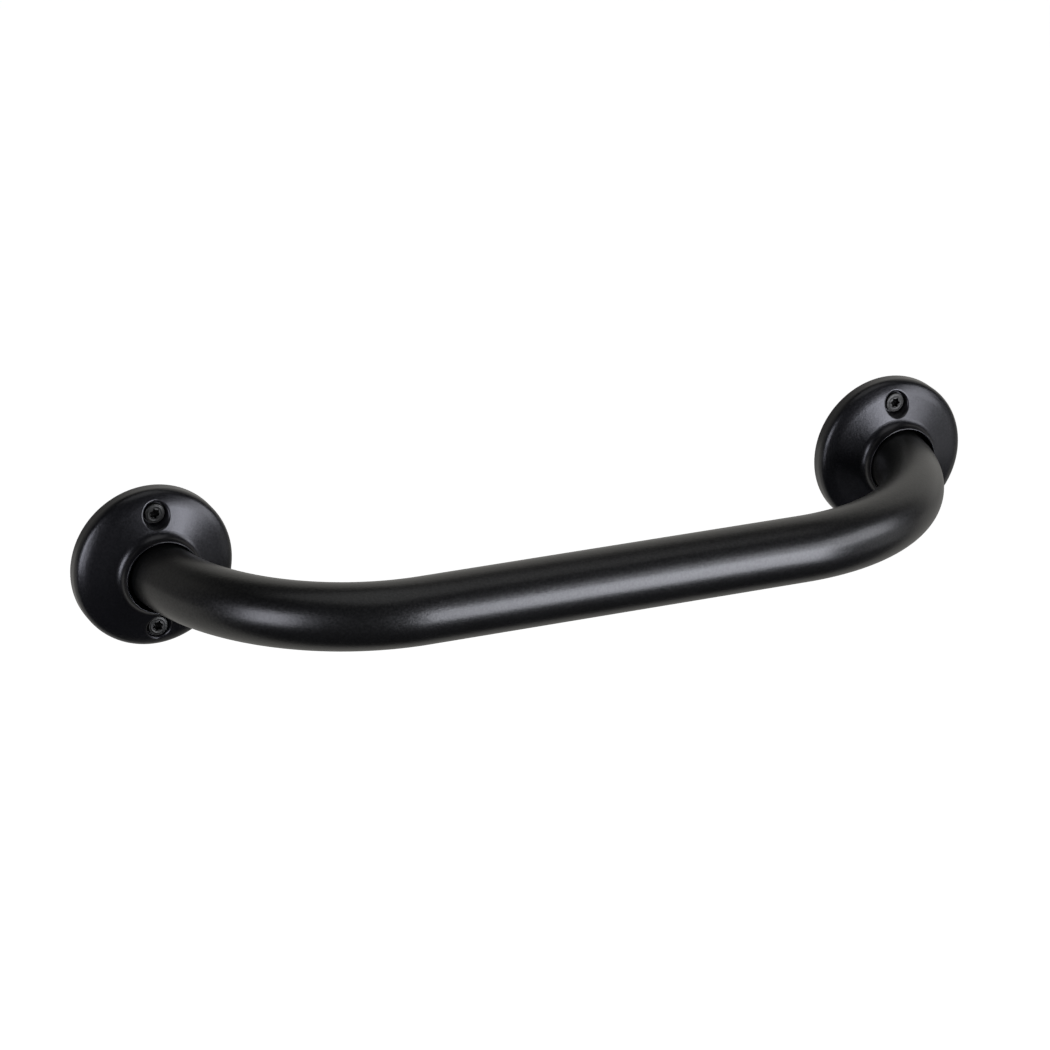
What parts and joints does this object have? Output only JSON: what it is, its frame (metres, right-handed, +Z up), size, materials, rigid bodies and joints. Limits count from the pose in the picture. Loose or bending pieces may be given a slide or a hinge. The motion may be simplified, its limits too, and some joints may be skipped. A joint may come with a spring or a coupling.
{
  "type": "grab bar",
  "caption": "Bent round tube grab bar with a domed wall flange at each end, screwed flat to a wall as a handhold in a shower or bath.",
  "frame": {"origin": "on the wall plane, midway between the centres of the two flanges", "axes": "+X along the bar to the right as seen from the room, +Y into the wall, +Z up"},
  "size_m": [0.3664, 0.1061, 0.0614],
  "materials": {
    "bar_coat": "satin",
    "flange_coat": "satin",
    "screw_black": "satin"
  },
  "bodies": {
    "root": {"grab_tube": "bar_coat", "left_mounting_plate": "bar_coat", "right_mounting_plate": "bar_coat", "left_cover_flange": "flange_coat", "right_cover_flange": "flange_coat", "fixing_screws": "screw_black"}
  },
  "joints": []
}
